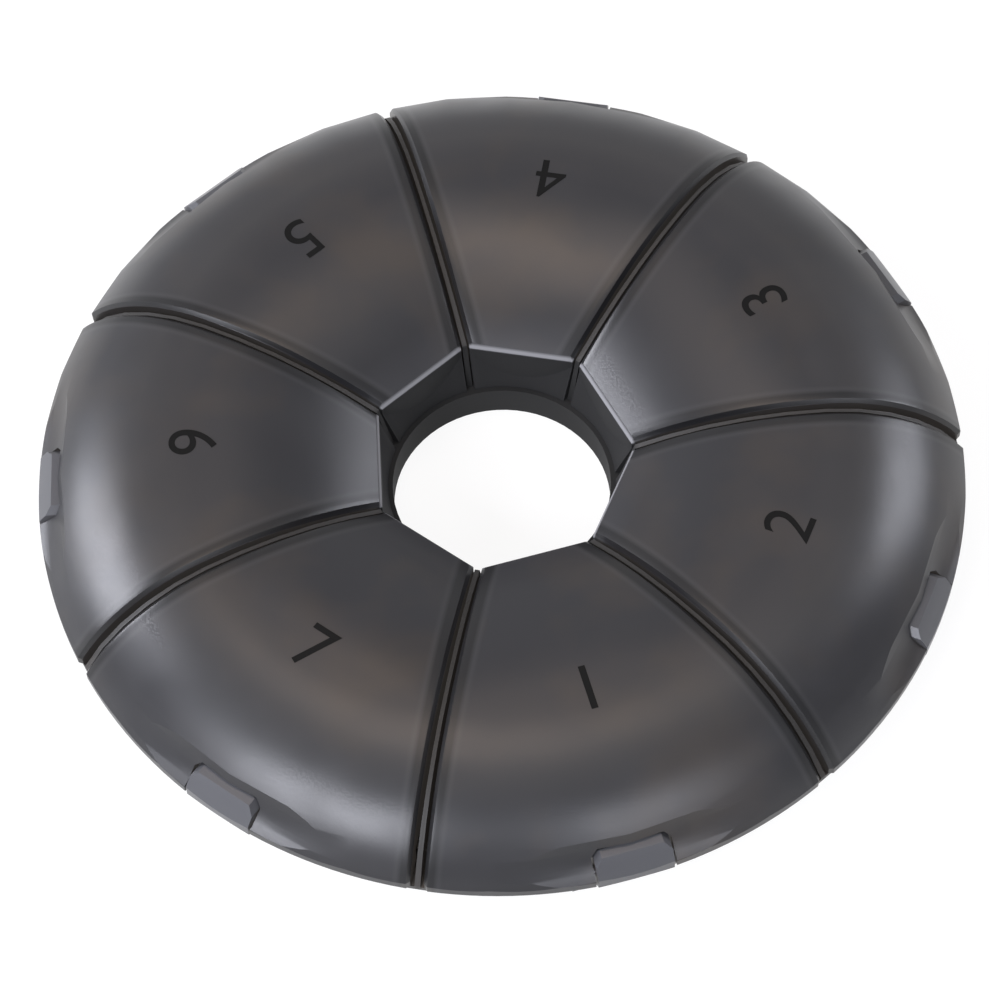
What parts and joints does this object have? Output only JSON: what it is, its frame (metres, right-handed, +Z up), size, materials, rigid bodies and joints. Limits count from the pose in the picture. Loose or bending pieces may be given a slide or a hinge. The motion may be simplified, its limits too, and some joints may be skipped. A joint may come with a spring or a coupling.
{
  "type": "weekly pill box",
  "caption": "Round weekly pill box: a ring-shaped tray of cells round an open finger hole, with domed translucent lids hinged at the rim.",
  "frame": {"origin": "centre of the flat underside", "axes": "+Z up, out of the closed lids; lid 1 lies along -Y, and the other lids follow counter-clockwise seen from above"},
  "size_m": [0.105, 0.105, 0.0168],
  "materials": {
    "tray_plastic": "satin, smoky and translucent",
    "lid_plastic": "satin, smoky and translucent",
    "pin_steel": "plain drawn wire"
  },
  "bodies": {
    "tray_body": {"base_tray": "tray_plastic"},
    "lid_body_1": {"lid_1": "lid_plastic", "hinge_pin_1": "pin_steel"},
    "lid_body_2": {"lid_2": "lid_plastic", "hinge_pin_2": "pin_steel"},
    "lid_body_3": {"lid_3": "lid_plastic", "hinge_pin_3": "pin_steel"},
    "lid_body_4": {"lid_4": "lid_plastic", "hinge_pin_4": "pin_steel"},
    "lid_body_5": {"lid_5": "lid_plastic", "hinge_pin_5": "pin_steel"},
    "lid_body_6": {"lid_6": "lid_plastic", "hinge_pin_6": "pin_steel"},
    "lid_body_7": {"lid_7": "lid_plastic", "hinge_pin_7": "pin_steel"}
  },
  "joints": [
    {"name": "lid_hinge_1", "type": "hinge", "parent": "tray_body", "child": "lid_body_1", "pos_m": [0, -0.0504, 0.007], "axis": [1, 0, 0], "range_deg": [0, 100]},
    {"name": "lid_hinge_2", "type": "hinge", "parent": "tray_body", "child": "lid_body_2", "pos_m": [0.0394, -0.03142, 0.007], "axis": [0.6235, 0.7818, 0], "range_deg": [0, 100]},
    {"name": "lid_hinge_3", "type": "hinge", "parent": "tray_body", "child": "lid_body_3", "pos_m": [0.04914, 0.01121, 0.007], "axis": [-0.2225, 0.9749, 0], "range_deg": [0, 100]},
    {"name": "lid_hinge_4", "type": "hinge", "parent": "tray_body", "child": "lid_body_4", "pos_m": [0.02187, 0.04541, 0.007], "axis": [-0.901, 0.4339, 0], "range_deg": [0, 100]},
    {"name": "lid_hinge_5", "type": "hinge", "parent": "tray_body", "child": "lid_body_5", "pos_m": [-0.02187, 0.04541, 0.007], "axis": [-0.901, -0.4339, 0], "range_deg": [0, 100]},
    {"name": "lid_hinge_6", "type": "hinge", "parent": "tray_body", "child": "lid_body_6", "pos_m": [-0.04914, 0.01121, 0.007], "axis": [-0.2225, -0.9749, 0], "range_deg": [0, 100]},
    {"name": "lid_hinge_7", "type": "hinge", "parent": "tray_body", "child": "lid_body_7", "pos_m": [-0.0394, -0.03142, 0.007], "axis": [0.6235, -0.7818, 0], "range_deg": [0, 100]}
  ]
}
